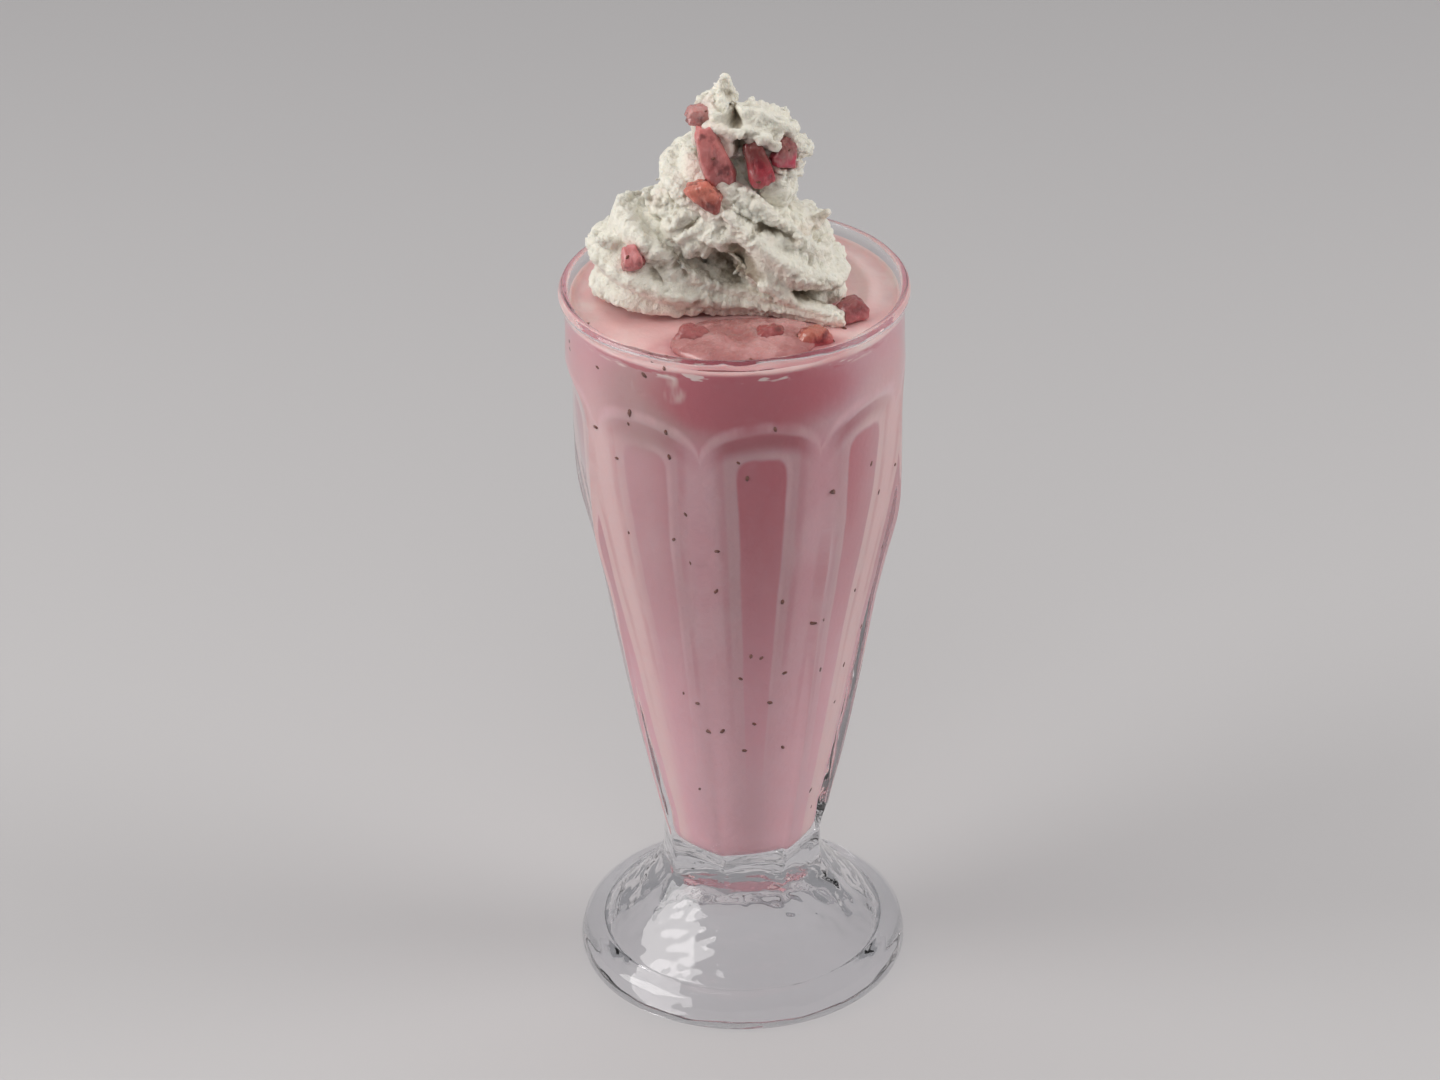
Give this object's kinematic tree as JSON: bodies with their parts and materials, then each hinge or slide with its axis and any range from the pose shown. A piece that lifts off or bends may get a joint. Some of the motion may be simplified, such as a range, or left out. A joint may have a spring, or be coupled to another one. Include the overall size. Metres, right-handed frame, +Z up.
{
  "type": "strawberry milkshake",
  "caption": "Strawberry milkshake in a tall footed soda glass with arched panels, topped with a swirl of whipped cream and diced strawberry.",
  "frame": {"origin": "on the table, under the middle of the glass's foot", "axes": "+Z up along the glass's axis, -Y towards the side the picture shows, +X to that side's right"},
  "size_m": [0.083, 0.083, 0.2401],
  "materials": {
    "glass": "clear polished glass",
    "milkshake": "satin, opaque pink drink with dark seeds",
    "whipped_cream": "soft matte, rough where it tore",
    "strawberry_puree": "wet gloss",
    "strawberry": "moist gloss"
  },
  "bodies": {
    "root": {"glass": "glass", "milkshake": "milkshake", "whipped_cream": "whipped_cream", "strawberry_puree": "strawberry_puree", "strawberry_1": "strawberry", "strawberry_2": "strawberry", "strawberry_3": "strawberry", "strawberry_4": "strawberry", "strawberry_5": "strawberry", "strawberry_6": "strawberry", "strawberry_7": "strawberry", "strawberry_8": "strawberry", "strawberry_9": "strawberry", "strawberry_10": "strawberry", "strawberry_11": "strawberry", "strawberry_12": "strawberry"}
  },
  "joints": []
}
